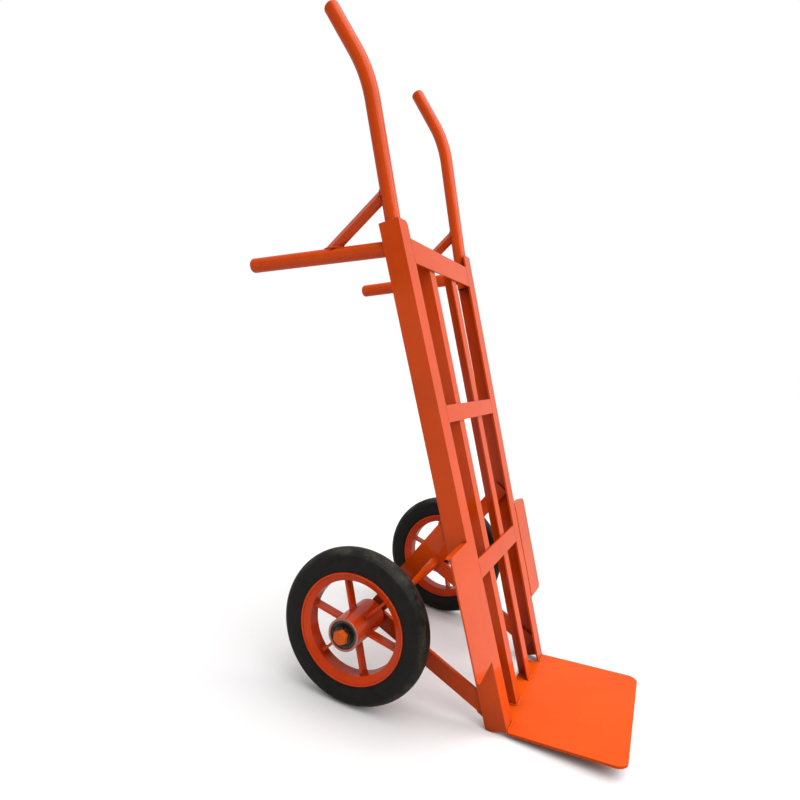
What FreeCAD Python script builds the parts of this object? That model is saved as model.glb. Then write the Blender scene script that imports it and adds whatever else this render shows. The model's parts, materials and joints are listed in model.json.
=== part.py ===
import FreeCAD, Part
import math
import os
import Sketcher

# A welded steel hand truck on two spoked wheels.
# World frame: +Z up, the toe plate points to -Y, X runs along the axle.
# The operator stands behind it at +Y, so the operator's right hand is at -X.
# Most of the frame is drawn in "frame axes" and then leant back:
#   x across, v backward from the front face of the rails, u up along the rails.

Vector = FreeCAD.Vector
Rotation = FreeCAD.Rotation
Placement = FreeCAD.Placement

doc = FreeCAD.newDocument("HandTruck")

# ---------------------------------------------------------------- dimensions

DIMENSIONS = {
    # stance
    "lean_angle": 20.9,
    "base_height": 11.2,
    "base_setback": -232.3,
    "toe_tilt": 5.5,
    # ladder frame
    "base_width": 341.0,
    "splay_angle": 2.74,
    "rail_length": 967.0,
    "rail_depth": 41.0,
    "rail_flange": 43.0,
    "rail_wall": 4.0,
    "rail_top_chamfer": 7.0,
    "crossbar_wall": 4.0,
    "lower_bar_level": 276.0,
    "lower_bar_height": 36.5,
    "middle_bar_level": 578.0,
    "middle_bar_height": 33.5,
    "top_bar_level": 887.0,
    "top_bar_height": 47.5,
    "inner_bar_width": 30.0,
    "inner_bar_depth": 26.0,
    "inner_bar_wall": 3.0,
    "right_bar_center": 59.0,
    "left_bar_center": 48.0,
    "inner_bar_fan": 0.95,
    # toe plate
    "toe_depth": 209.0,
    "toe_tongue": 30.0,
    "toe_tongue_gap": 1.0,
    "toe_thickness": 5.0,
    "toe_corner_radius": 22.0,
    # tubes
    "tube_diameter": 30.0,
    "tube_wall": 2.6,
    "tube_end_radius": 6.0,
    "handle_foot": 890.0,
    "handle_forward_tilt": 2.6,
    "right_handle_bend_start": 1195.0,
    "left_handle_bend_start": 1213.0,
    "handle_bend_radius": 300.0,
    "handle_bend_angle": 19.9,
    "handle_grip": 104.0,
    "rear_tube_level": 918.0,
    "right_rear_tube_tilt": 10.0,
    "left_rear_tube_tilt": 8.3,
    "right_rear_tube_length": 330.0,
    "left_rear_tube_length": 275.0,
    "diagonal_size": 18.0,
    "right_diagonal_handle_level": 1026.0,
    "left_diagonal_handle_level": 1034.0,
    "diagonal_reach": 155.0,
    # wheel guards
    "guard_bottom": 133.0,
    "guard_top": 357.0,
    "guard_width": 92.0,
    "guard_thickness": 3.0,
    "guard_lip": 12.0,
    "guard_corner_radius": 14.0,
    # axle and its carriers
    "axle_setback": 297.5,
    "axle_height": 150.0,
    "axle_tube_half": 192.0,
    "axle_tube_radius": 13.6,
    "carrier_width": 32.0,
    "carrier_thickness": 8.0,
    "strut_level": 398.0,
    "brace_level": 31.0,
    # wheels, measured outward from the middle of the axle
    "wheel_offset": 250.0,
    "wheel_radius": 150.0,
    "tyre_width": 47.0,
    "tyre_shoulder_rise": 4.0,
    "tyre_shoulder_inset": 1.5,
    "rim_width": 41.0,
    "rim_radius": 107.0,
    "rim_lip_face": 3.0,
    "rim_floor_width": 26.6,
    "rim_seat_radius": 98.0,
    "rim_drop_radius": 93.0,
    "rim_wall": 3.0,
    "spoke_width": 20.0,
    "spoke_inset": 3.0,
    "spoke_thickness": 5.0,
    "right_spoke_angle": 19.5,
    "left_spoke_angle": 44.0,
    "hub_radius": 30.8,
    "hub_outer_end": 296.0,
    "hub_inner_end": 190.0,
    "bearing_radius": 26.0,
    "bearing_width": 15.0,
    "bearing_recess": 2.0,
    "race_outer_radius": 21.5,
    "race_inner_radius": 14.5,
    "seal_thickness": 1.0,
    "seal_inset": 0.6,
    "seal_clearance": 0.3,
    "ball_radius": 3.48,
    "ball_circle": 18.03,
    "axle_radius": 10.0,
    "spacer_radius": 13.0,
    "hub_shoulder_radius": 23.5,
    "washer_radius": 18.0,
    "washer_thickness": 3.0,
    "spring_washer_radius": 16.5,
    "spring_washer_thickness": 4.5,
    "spring_washer_clearance": 0.4,
    "spring_washer_gap": 2.0,
    "spring_washer_skew": 12.0,
    "hex_flats": 24.0,
    "hex_height": 10.0,
    "hex_crown_radius": 11.4,
    "hex_crown_angle": 60.0,
    "shank_inner_end": 150.0,
}

SPOKE_COUNT = 6
BALL_COUNT = 8

sheet = doc.addObject("Spreadsheet::Sheet", "Dimensions")
for row, (alias, number) in enumerate(DIMENSIONS.items(), start=1):
    sheet.set("A%d" % row, alias)
    sheet.set("B%d" % row, "%g" % number)
    sheet.setAlias("B%d" % row, alias)
doc.recompute()


class Size:
    """A length or angle: its value now, and the spreadsheet expression that gives it."""

    def __init__(self, value, text):
        self.value = value
        self.text = text

    def join(self, other, sign, value):
        return Size(value, "(%s %s %s)" % (self.text, sign, as_size(other).text))

    def __add__(self, other):
        return self.join(other, "+", self.value + as_size(other).value)

    def __sub__(self, other):
        return self.join(other, "-", self.value - as_size(other).value)

    def __mul__(self, other):
        return self.join(other, "*", self.value * as_size(other).value)

    def __truediv__(self, other):
        return self.join(other, "/", self.value / as_size(other).value)

    def __neg__(self):
        return Size(-self.value, "(-1 * %s)" % self.text)


def as_size(number):
    if isinstance(number, Size):
        return number
    return Size(float(number), "%g" % number)


def dim(alias):
    """The spreadsheet cell of that alias."""
    return Size(float(sheet.get(alias)), "Dimensions." + alias)


def trig(function, alias):
    """The sine, cosine or tangent of an angle in the sheet."""
    value = getattr(math, function)(math.radians(dim(alias).value))
    return Size(value, "%s(%s * 1deg)" % (function, dim(alias).text))


def bind(feature, **sizes):
    for prop, size in sizes.items():
        feature.setExpression(prop, as_size(size).text)


# ---------------------------------------------------------------- placements

LEAN = Rotation(Vector(1, 0, 0), -dim("lean_angle").value)
BASE = Vector(0, dim("base_setback").value, dim("base_height").value)
AXLE_CENTER = Vector(0, dim("base_setback").value + dim("axle_setback").value, dim("axle_height").value)
SIDES = {"right": -1, "left": 1}


def frame_place(x=0.0, v=0.0, u=0.0, turn=Rotation()):
    """A place given in frame axes, with an extra turn made before the lean."""
    return Placement(BASE + LEAN.multVec(Vector(x, v, u)), LEAN.multiply(turn))


def rail_place(sign):
    """The outer front corner of a rail at its foot: local +Z up the splayed rail, +Y backward."""
    splay = Rotation(Vector(0, 1, 0), sign * dim("splay_angle").value)
    return frame_place(x=sign * dim("base_width").value / 2, turn=splay)


def rail_half_width(u):
    """Half the frame's width over the rails at height u."""
    return dim("base_width").value / 2 + u * math.tan(math.radians(dim("splay_angle").value))


def wheel_place(sign):
    """The axle's centre, with local +X pointing outward on that side."""
    turn = Rotation(Vector(0, 0, 1), 0 if sign > 0 else 180)
    return Placement(AXLE_CENTER, turn)


# ---------------------------------------------------------------- part makers

def origin_plane(body, role):
    return [f for f in body.Origin.OriginFeatures if f.Role == role][0]


def new_body(label):
    body = doc.addObject("PartDesign::Body", label)
    body.Label = label
    return body


def sketch_outline(body, name, role, corners):
    """A closed outline through corners given as (Size, Size), each corner held by the sheet."""
    sketch = body.newObject("Sketcher::SketchObject", name)
    sketch.AttachmentSupport = [(origin_plane(body, role), "")]
    sketch.MapMode = "FlatFace"
    corners = [(as_size(a), as_size(b)) for a, b in corners]
    points = [Vector(a.value, b.value, 0) for a, b in corners]
    count = len(points)
    for i in range(count):
        sketch.addGeometry(Part.LineSegment(points[i], points[(i + 1) % count]), False)
    for i in range(count):
        sketch.addConstraint(Sketcher.Constraint("Coincident", i, 2, (i + 1) % count, 1))
    for i, (a, b) in enumerate(corners):
        for kind, size in (("DistanceX", a), ("DistanceY", b)):
            index = sketch.addConstraint(Sketcher.Constraint(kind, -1, 1, i, 1, size.value))
            sketch.setExpression("Constraints[%d]" % index, size.text)
    return sketch


def pad(body, sketch, length):
    feature = body.newObject("PartDesign::Pad", sketch.Label + "_pad")
    feature.Profile = sketch
    bind(feature, Length=length)
    return feature


def revolve(label, outline, place):
    """A turned part: outline is (distance along the axle, radius), spun about local X."""
    body = new_body(label)
    sketch = sketch_outline(body, label + "_outline", "XY_Plane", outline)
    turned = body.newObject("PartDesign::Revolution", label + "_turned")
    turned.Profile = sketch
    turned.ReferenceAxis = (sketch, ["H_Axis"])
    turned.Angle = 360
    body.Placement = place
    return body


def part_box(name, length, width, height, place):
    box = doc.addObject("Part::Box", name)
    bind(box, Length=length, Width=width, Height=height)
    box.Placement = place
    return box


def part_cylinder(name, radius, height, place):
    cylinder = doc.addObject("Part::Cylinder", name)
    bind(cylinder, Radius=radius, Height=height)
    cylinder.Placement = place
    return cylinder


def boolean(kind, label, base, tool):
    result = doc.addObject("Part::" + kind, label)
    result.Base = base
    result.Tool = tool
    result.Label = label
    return result


def compound(label, links):
    group = doc.addObject("Part::Compound", label)
    group.Links = links
    group.Label = label
    return group


# ---------------------------------------------------------------- ladder frame

def side_rail(side, sign):
    """Steel angle: outer web and inward front flange; its foot is ground flat to the floor."""
    depth = dim("rail_depth")
    flange = dim("rail_flange")
    wall = dim("rail_wall")
    label = "side_rail_" + side
    body = new_body(label)
    inward = -sign
    outline = [
        (0, 0),
        (flange * inward, 0),
        (flange * inward, wall),
        (wall * inward, wall),
        (wall * inward, depth),
        (0, depth),
    ]
    sketch = sketch_outline(body, label + "_section", "XY_Plane", outline)
    pad(body, sketch, dim("rail_length"))

    chamfer = dim("rail_top_chamfer")
    top = dim("rail_length")
    corner = sketch_outline(body, label + "_corner", "XZ_Plane", [
        (flange * inward, top),
        (flange * inward, top - chamfer),
        ((flange - chamfer) * inward, top),
    ])
    cut_through(body, label + "_chamfer", corner, wall * 4)

    base = dim("base_height")
    sine = trig("sin", "lean_angle")
    heel = sketch_outline(body, label + "_heel", "YZ_Plane", [
        (base / sine, 0),
        (depth, 0),
        (depth, (depth * sine - base) / trig("cos", "lean_angle") / trig("cos", "splay_angle")),
    ])
    cut_through(body, label + "_foot", heel, wall * 4)
    body.Placement = rail_place(sign)
    return body


def cut_through(body, name, sketch, length):
    """A pocket both ways from its sketch plane."""
    pocket = body.newObject("PartDesign::Pocket", name)
    pocket.Profile = sketch
    bind(pocket, Length=length)
    pocket.Midplane = True
    return pocket


def find_edge(shape, middle):
    """The name of the edge whose middle is nearest to a point."""
    def distance(edge):
        return edge.CenterOfMass.distanceToPoint(middle)
    nearest = min(range(len(shape.Edges)), key=lambda i: distance(shape.Edges[i]))
    return "Edge%d" % (nearest + 1)


def round_edges(body, name, middles, radius):
    """Fillet the edges of a body whose middles are at the given points."""
    doc.recompute()
    base = body.Tip
    edges = [find_edge(body.Shape, middle) for middle in middles]
    fillet = body.newObject("PartDesign::Fillet", name)
    fillet.Base = (base, edges)
    bind(fillet, Radius=radius)


def crossbar(label, level, height):
    """Flat bar, butt-welded between the two front flanges; its ends follow the splay."""
    level = dim(level)
    height = dim(height)
    top = level + height
    body = new_body(label)
    outline = [
        (-inner_half(level), level),
        (inner_half(level), level),
        (inner_half(top), top),
        (-inner_half(top), top),
    ]
    sketch = sketch_outline(body, label + "_outline", "XZ_Plane", outline)
    pad(body, sketch, dim("crossbar_wall")).Reversed = True
    body.Placement = frame_place()
    return body


def inner_half(u):
    """Half the clear width between the two flanges at height u, as a sheet expression."""
    spread = u * trig("tan", "splay_angle")
    return dim("base_width") / 2 + spread - dim("rail_flange") / trig("cos", "splay_angle")


def inner_bar(side, sign):
    """Light angle behind the crossbars, from the toe plate to the top crossbar."""
    width = dim("inner_bar_width")
    depth = dim("inner_bar_depth")
    wall = dim("inner_bar_wall")
    label = "inner_bar_" + side
    body = new_body(label + "_length")
    web = sign * 1.0
    half = width / 2
    outline = [
        (half * -web, 0),
        (half * web, 0),
        (half * web, depth),
        ((half - wall) * web, depth),
        ((half - wall) * web, wall),
        (half * -web, wall),
    ]
    sketch = sketch_outline(body, label + "_section", "XY_Plane", outline)
    pad(body, sketch, dim("top_bar_level") + dim("top_bar_height") / 2)
    center = dim(side + "_bar_center").value * sign
    fan = Rotation(Vector(0, 1, 0), sign * dim("inner_bar_fan").value)
    body.Placement = frame_place(center, dim("crossbar_wall").value, 0, fan)

    below = dim("rail_depth")
    corner = Vector(center - width.value, -width.value, 0)
    block_place = toe_place(-below.value).multiply(Placement(corner, Rotation()))
    block = part_box(label + "_foot_cut", width * 2, width * 3, below, block_place)
    return boolean("Cut", label, body, block)


# ---------------------------------------------------------------- toe plate

def toe_plate():
    """Flat plate in front of the rails, with a tongue between them for the inner bars."""
    half = dim("base_width") / 2
    reach = dim("toe_depth")
    tongue = dim("toe_tongue")
    tongue_half = half - dim("rail_flange") - dim("toe_tongue_gap")
    label = "toe_plate"
    body = new_body(label)
    outline = [
        (-half, 0),
        (-half, -reach),
        (half, -reach),
        (half, 0),
        (tongue_half, 0),
        (tongue_half, tongue),
        (-tongue_half, tongue),
        (-tongue_half, 0),
    ]
    sketch = sketch_outline(body, label + "_outline", "XY_Plane", outline)
    pad(body, sketch, dim("toe_thickness"))
    level = dim("toe_thickness").value / 2
    corners = [Vector(x, -reach.value, level) for x in (-half.value, half.value)]
    round_edges(body, label + "_corners", corners, dim("toe_corner_radius"))
    body.Placement = toe_place(-dim("toe_thickness").value)
    return body


def toe_place(height=0.0):
    """On the toe plate's top face, where it meets the rails' front."""
    tilt = Rotation(Vector(1, 0, 0), -dim("toe_tilt").value)
    return Placement(BASE + tilt.multVec(Vector(0, 0, height)), tilt)


# ---------------------------------------------------------------- tubes

def tube_center_inset():
    """A tube lies in the corner of its angle, against the web and the back of the flange."""
    return dim("rail_wall").value + dim("tube_diameter").value / 2


def bent_tube(label, path_points, bend_radius, place):
    """A tube along straight runs and tangent arcs: open at its foot, closed and rounded at its end."""
    feature = doc.addObject("Part::Feature", label)
    radius = dim("tube_diameter").value / 2
    end = path_points[-1]
    back = (path_points[-2] - end).normalize()
    solid = swept_round(path_points, bend_radius, radius)
    end_edges = [e for e in solid.Edges if is_end_circle(e, end)]
    solid = solid.makeFillet(dim("tube_end_radius").value, end_edges)
    inner_points = path_points[:-1] + [end + back * dim("tube_end_radius").value]
    bore = swept_round(inner_points, bend_radius, radius - dim("tube_wall").value)
    feature.Shape = solid.cut(bore)
    feature.Placement = place
    feature.Label = label
    return feature


def swept_round(points, bend_radius, radius):
    """A solid round bar along a bent path."""
    start = points[0]
    ring = Part.Wire(Part.makeCircle(radius, start, (points[1] - start).normalize()))
    return rounded_path(points, bend_radius).makePipeShell([ring], True, False)


def is_end_circle(edge, end):
    return isinstance(edge.Curve, Part.Circle) and edge.Curve.Center.distanceToPoint(end) < 0.01


def rounded_path(points, bend_radius):
    """Straight runs with a tangent arc at each inner corner."""
    edges = []
    start = points[0]
    for i in range(1, len(points) - 1):
        before = (points[i - 1] - points[i]).normalize()
        after = (points[i + 1] - points[i]).normalize()
        half_turn = before.getAngle(after) / 2
        setback = bend_radius / math.tan(half_turn)
        into = points[i] + before * setback
        out = points[i] + after * setback
        toward_center = (before + after).normalize()
        middle = points[i] + toward_center * (bend_radius / math.sin(half_turn) - bend_radius)
        edges.append(Part.LineSegment(start, into).toShape())
        edges.append(Part.Arc(into, middle, out).toShape())
        start = out
    edges.append(Part.LineSegment(start, points[-1]).toShape())
    return Part.Wire(edges)


def handle_line(sign, level):
    """The point at that level on the handle tube's straight centre line."""
    inset = tube_center_inset()
    rise = level - dim("rail_length").value
    slope = math.tan(math.radians(dim("handle_forward_tilt").value))
    return Vector(-sign * inset, inset - rise * slope, level)


def handle_tube(side, sign):
    """A hand grip: up out of the rail's top, then bent backward towards the operator."""
    tilt = math.radians(dim("handle_forward_tilt").value)
    angle = math.radians(dim("handle_bend_angle").value)
    radius = dim("handle_bend_radius").value
    half_bend = radius * math.tan(angle / 2)
    bend_start = dim(side + "_handle_bend_start").value
    corner = handle_line(sign, bend_start + half_bend * math.cos(tilt))
    reach = half_bend + dim("handle_grip").value
    points = [
        handle_line(sign, dim("handle_foot").value),
        corner,
        corner + Vector(0, math.sin(angle - tilt), math.cos(angle - tilt)) * reach,
    ]
    return bent_tube("handle_tube_" + side, points, radius, rail_place(sign))


def handle_column(sign):
    """A cylinder that fills the straight part of the handle tube, for coping what meets it."""
    low = handle_line(sign, dim("handle_foot").value)
    high = handle_line(sign, dim("right_handle_bend_start").value)
    return Part.makeCylinder(dim("tube_diameter").value / 2, (high - low).Length, low, high - low)


def rear_tube_line(side, sign):
    """Start and direction of a rear tube's centre line, in the rail's own axes."""
    tilt = math.radians(dim(side + "_rear_tube_tilt").value)
    start = handle_line(sign, dim("rear_tube_level").value)
    return start, Vector(0, math.cos(tilt), math.sin(tilt))


def rear_tube(side, sign):
    """A rest and second grip that runs backward from the rail, coped to the handle tube."""
    start, direction = rear_tube_line(side, sign)
    radius = dim("tube_diameter").value / 2
    label = "rear_tube_" + side
    length = dim(side + "_rear_tube_length").value
    end = start + direction * length
    blank = Part.makeCylinder(radius, length, start, direction)
    end_edges = [e for e in blank.Edges if is_end_circle(e, end)]
    closure = dim("tube_end_radius").value
    blank = blank.makeFillet(closure, end_edges)
    bore_radius = radius - dim("tube_wall").value
    bore = Part.makeCylinder(bore_radius, length - closure, start, direction)
    feature = doc.addObject("Part::Feature", label)
    feature.Shape = blank.cut([handle_column(sign), bore])
    feature.Placement = rail_place(sign)
    feature.Label = label
    return feature


def diagonal_brace(side, sign):
    """A square bar on edge between the back of the handle tube and the top of the rear tube."""
    size = dim("diagonal_size")
    start, direction = rear_tube_line(side, sign)
    low = start + direction * dim("diagonal_reach").value
    high = handle_line(sign, dim(side + "_diagonal_handle_level").value)
    along = (high - low).normalize()
    label = "diagonal_brace_" + side
    bar = Part.makeBox(size.value, size.value, (high - low).Length)
    bar.translate(Vector(-size.value / 2, -size.value / 2, 0))
    bar.rotate(Vector(), Vector(0, 0, 1), 45)
    bar.Placement = Placement(low, Rotation(Vector(0, 0, 1), along)).multiply(bar.Placement)
    beam_length = dim("left_rear_tube_length").value
    beam = Part.makeCylinder(dim("tube_diameter").value / 2, beam_length, start, direction)
    feature = doc.addObject("Part::Feature", label)
    feature.Shape = bar.cut([handle_column(sign), beam])
    feature.Placement = rail_place(sign)
    feature.Label = label
    return feature


# ---------------------------------------------------------------- wheel guards

def wheel_guard(side, sign):
    """Plate welded to the rail's outer front corner, with its top edge bent back as a lip."""
    bottom = dim("guard_bottom")
    top = dim("guard_top")
    wide = dim("guard_width")
    thick = dim("guard_thickness")
    lip = dim("guard_lip")
    label = "wheel_guard_" + side
    body = new_body(label)
    outline = [(0, bottom), (wide * sign, bottom), (wide * sign, top), (0, top)]
    sketch = sketch_outline(body, label + "_outline", "XZ_Plane", outline)
    pad(body, sketch, thick).Reversed = True

    lip_outline = [(0, top - thick), (wide * sign, top - thick), (wide * sign, top), (0, top)]
    lip_sketch = sketch_outline(body, label + "_lip_outline", "XZ_Plane", lip_outline)
    pad(body, lip_sketch, lip).Reversed = True
    outer = [
        Vector(wide.value * sign, thick.value / 2, bottom.value),
        Vector(wide.value * sign, lip.value / 2, top.value),
    ]
    round_edges(body, label + "_corners", outer, dim("guard_corner_radius"))
    body.Placement = rail_place(sign)
    return body


# ---------------------------------------------------------------- axle carriers

def axle_tube():
    """Thick round tube across the truck; each end is tapped for a wheel bolt."""
    half = dim("axle_tube_half")
    radius = dim("axle_tube_radius")
    bore = dim("axle_radius")
    outline = [(-half, bore), (half, bore), (half, radius), (-half, radius)]
    return revolve("axle_tube", outline, Placement(AXLE_CENTER, Rotation()))


def carrier_bar(label, sign, foot_v, level):
    """Flat bar from the inner face of the rail's web to the middle of the axle."""
    width = dim("carrier_width")
    thick = dim("carrier_thickness")
    web = dim("rail_wall").value
    foot = Vector(0, foot_v, level)
    hub = rail_place(sign).inverse().multVec(axle_point(sign))
    hub.x = 0
    along = hub - foot
    turn = Rotation(Vector(1, 0, 0), -math.degrees(math.atan2(along.y, along.z)))
    low_side = web if sign < 0 else -web - thick.value
    corner = foot + Vector(low_side, 0, 0) + turn.multVec(Vector(0, -width.value / 2, 0))
    place = rail_place(sign).multiply(Placement(corner, turn))
    return part_box(label + "_bar", thick, width, along.Length, place)


def axle_point(sign):
    """Where the axle line meets the rail's web plane, near enough for the flat carriers."""
    reach = rail_half_width(dim("axle_height").value)
    return AXLE_CENTER + Vector(sign * reach, 0, 0)


def axle_cope(name):
    """The axle tube's outside, used to fish-mouth what is welded to it."""
    half = dim("axle_tube_half")
    place = Placement(AXLE_CENTER - Vector(half.value, 0, 0), Rotation(Vector(0, 1, 0), 90))
    return part_cylinder(name, dim("axle_tube_radius"), half * 2, place)


def axle_carriers(side, sign):
    strut_label = "axle_strut_" + side
    brace_label = "axle_brace_" + side
    lap = dim("rail_depth").value / 2
    strut_bar = carrier_bar(strut_label, sign, lap, dim("strut_level").value)
    brace_bar = carrier_bar(brace_label, sign, lap, dim("brace_level").value)
    strut = boolean("Cut", strut_label, strut_bar, axle_cope(strut_label + "_cope"))
    trimmed = boolean("Cut", brace_label + "_trimmed", brace_bar, axle_cope(brace_label + "_cope"))
    brace = boolean("Cut", brace_label, trimmed, strut)
    return strut, brace


# ---------------------------------------------------------------- wheels

def tyre(side, sign):
    """Solid rubber tyre with a rounded crown, its foot seated in the rim's flared channel."""
    feature = doc.addObject("Part::Feature", "tyre_" + side)
    middle = dim("wheel_offset").value
    half = dim("tyre_width").value / 2
    seat_half = dim("rim_width").value / 2 - dim("rim_wall").value
    outer = dim("wheel_radius").value
    seat = dim("rim_seat_radius").value
    lip = dim("rim_radius").value
    floor_half = (dim("rim_floor_width").value - dim("rim_wall").value) / 2
    flare = (seat_half - floor_half) / (lip - dim("rim_drop_radius").value)
    foot_half = seat_half - (lip - seat) * flare
    middle_radius = (outer + lip) / 2
    shoulder = middle_radius + dim("tyre_shoulder_rise").value
    shoulder_half = half - dim("tyre_shoulder_inset").value
    left_wall = Part.Arc(
        Vector(middle - seat_half, lip, 0),
        Vector(middle - half, (lip + middle_radius) / 2, 0),
        Vector(middle - shoulder_half, shoulder, 0),
    ).toShape()
    crown = Part.Arc(
        Vector(middle - shoulder_half, shoulder, 0),
        Vector(middle, outer, 0),
        Vector(middle + shoulder_half, shoulder, 0),
    ).toShape()
    right_wall = Part.Arc(
        Vector(middle + shoulder_half, shoulder, 0),
        Vector(middle + half, (lip + middle_radius) / 2, 0),
        Vector(middle + seat_half, lip, 0),
    ).toShape()
    seat_points = [
        Vector(middle + seat_half, lip, 0),
        Vector(middle + foot_half, seat, 0),
        Vector(middle - foot_half, seat, 0),
        Vector(middle - seat_half, lip, 0),
    ]
    seat_edges = [Part.LineSegment(a, b).toShape() for a, b in zip(seat_points, seat_points[1:])]
    section = Part.Face(Part.Wire([left_wall, crown, right_wall] + seat_edges))
    feature.Shape = section.revolve(Vector(), Vector(1, 0, 0), 360)
    feature.Placement = wheel_place(sign)
    feature.Label = "tyre_" + side
    return feature


def rim(side, sign):
    """Rolled steel channel: a flat floor and two walls that flare out to narrow lips."""
    middle = dim("wheel_offset")
    half = dim("rim_width") / 2
    floor_half = dim("rim_floor_width") / 2
    wall = dim("rim_wall")
    lip = dim("rim_radius")
    face = dim("rim_lip_face")
    drop = dim("rim_drop_radius")
    outline = [
        (middle - half, lip),
        (middle - half, lip - face),
        (middle - floor_half, drop - wall),
        (middle + floor_half, drop - wall),
        (middle + half, lip - face),
        (middle + half, lip),
        (middle + half - wall, lip),
        (middle + floor_half - wall / 2, drop),
        (middle - floor_half + wall / 2, drop),
        (middle - half + wall, lip),
    ]
    return revolve("rim_" + side, outline, wheel_place(sign))


def spokes(side, sign):
    """Six flat bars set with their width along the axle, a little inboard of the rim's middle."""
    label = "spokes_" + side
    width = dim("spoke_width")
    thick = dim("spoke_thickness")
    middle = (dim("wheel_offset") - dim("spoke_inset")).value
    inner = dim("hub_radius")
    outer = dim("rim_drop_radius") - dim("rim_wall")
    place = wheel_place(sign)
    band = ring(label + "_band", inner, outer, width, disc_place(sign, middle - width.value / 2))
    first_angle = dim(side + "_spoke_angle").value
    bars = []
    for i in range(SPOKE_COUNT):
        turn = Rotation(Vector(1, 0, 0), first_angle + 360.0 * i / SPOKE_COUNT)
        corner = Vector(middle - width.value / 2, -thick.value / 2, 0)
        spoke_place = place.multiply(Placement(Vector(), turn)).multiply(Placement(corner, Rotation()))
        blank = part_box("%s_blank_%d" % (label, i + 1), width, thick, outer, spoke_place)
        bars.append(boolean("Common", "%s_%d" % (label, i + 1), blank, band))
    return compound(label, bars)


def hub(side, sign):
    """Hub tube with a bearing seat bored in each end and a shoulder between them."""
    inner_end = dim("hub_inner_end")
    outer_end = dim("hub_outer_end")
    seat = dim("bearing_radius")
    deep = dim("bearing_recess") + dim("bearing_width")
    shoulder = dim("hub_shoulder_radius")
    outline = [
        (inner_end, dim("hub_radius")),
        (inner_end, seat),
        (inner_end + deep, seat),
        (inner_end + deep, shoulder),
        (outer_end - deep, shoulder),
        (outer_end - deep, seat),
        (outer_end, seat),
        (outer_end, dim("hub_radius")),
    ]
    return revolve("hub_" + side, outline, wheel_place(sign))


def bearing_starts():
    """Where the inner face of each of a hub's two bearings lies along the axle."""
    inner = dim("hub_inner_end") + dim("bearing_recess")
    outer = dim("hub_outer_end") - dim("bearing_recess") - dim("bearing_width")
    return inner, outer


def disc_place(sign, along):
    """A place on the axle line at that distance outward, with local +Z along the axle."""
    return wheel_place(sign).multiply(Placement(Vector(along, 0, 0), Rotation(Vector(0, 1, 0), 90)))


def ring(label, inner_radius, outer_radius, width, place):
    blank = part_cylinder(label + "_blank", outer_radius, width, place)
    bore = part_cylinder(label + "_bore", inner_radius, width, place)
    return boolean("Cut", label, blank, bore)


def ring_pair(label, sign, inner_radius, outer_radius):
    """The same ring in both bearings of one hub, as two solids of one node."""
    rings = []
    for name, start in zip(("inner", "outer"), bearing_starts()):
        place = disc_place(sign, start.value)
        width = dim("bearing_width")
        rings.append(ring("%s_%s" % (label, name), inner_radius, outer_radius, width, place))
    return compound(label, rings)


def bearing_seals(side, sign):
    """A thin seal near each face of each bearing, clear of the inner race."""
    label = "bearing_seals_" + side
    thick = dim("seal_thickness")
    inset = dim("seal_inset")
    inner_radius = dim("race_inner_radius") + dim("seal_clearance")
    seals = []
    for name, start in zip(("inner", "outer"), bearing_starts()):
        offsets = (inset.value, (dim("bearing_width") - inset - thick).value)
        for face, offset in enumerate(offsets, start=1):
            place = disc_place(sign, start.value + offset)
            stem = "%s_%s_%d" % (label, name, face)
            seals.append(ring(stem, inner_radius, dim("race_outer_radius"), thick, place))
    return compound(label, seals)


def bearing_balls(side, sign):
    """Two rows of balls between the races."""
    label = "bearing_balls_" + side
    balls = []
    for row, start in enumerate(bearing_starts(), start=1):
        along = start.value + dim("bearing_width").value / 2
        for i in range(BALL_COUNT):
            angle = 2 * math.pi * i / BALL_COUNT
            circle = dim("ball_circle").value
            center = Vector(along, circle * math.cos(angle), circle * math.sin(angle))
            ball = doc.addObject("Part::Sphere", "%s_%d_%d" % (label, row, i + 1))
            bind(ball, Radius=dim("ball_radius"))
            ball.Placement = wheel_place(sign).multiply(Placement(center, Rotation()))
            balls.append(ball)
    return compound(label, balls)


# ---------------------------------------------------------------- axle hardware

def spacer_sleeve(side, sign):
    """Tube between the two inner races, around the bolt."""
    inner, outer = bearing_starts()
    outline = [
        (inner + dim("bearing_width"), dim("axle_radius")),
        (outer, dim("axle_radius")),
        (outer, dim("spacer_radius")),
        (inner + dim("bearing_width"), dim("spacer_radius")),
    ]
    return revolve("bearing_spacer_" + side, outline, wheel_place(sign))


def washer(label, sign, begin, radius, thickness):
    outline = [
        (begin, dim("axle_radius")),
        (begin + thickness, dim("axle_radius")),
        (begin + thickness, radius),
        (begin, radius),
    ]
    return revolve(label, outline, wheel_place(sign))


def spring_washer(side, sign, begin):
    """Split ring under the bolt head."""
    label = "spring_washer_" + side
    thick = dim("spring_washer_thickness")
    radius = dim("spring_washer_radius")
    inner_radius = dim("axle_radius") + dim("spring_washer_clearance")
    closed = ring(label + "_ring", inner_radius, radius, thick, disc_place(sign, begin.value))
    gap = dim("spring_washer_gap")
    corner = Vector(begin.value - gap.value / 2, -gap.value / 2, 0)
    skew = Rotation(Vector(0, 0, 1), dim("spring_washer_skew").value)
    slot_place = wheel_place(sign).multiply(Placement(corner, skew))
    slot = part_box(label + "_gap", thick * 2, gap, radius * 1.2, slot_place)
    return boolean("Cut", label, closed, slot)


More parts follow.
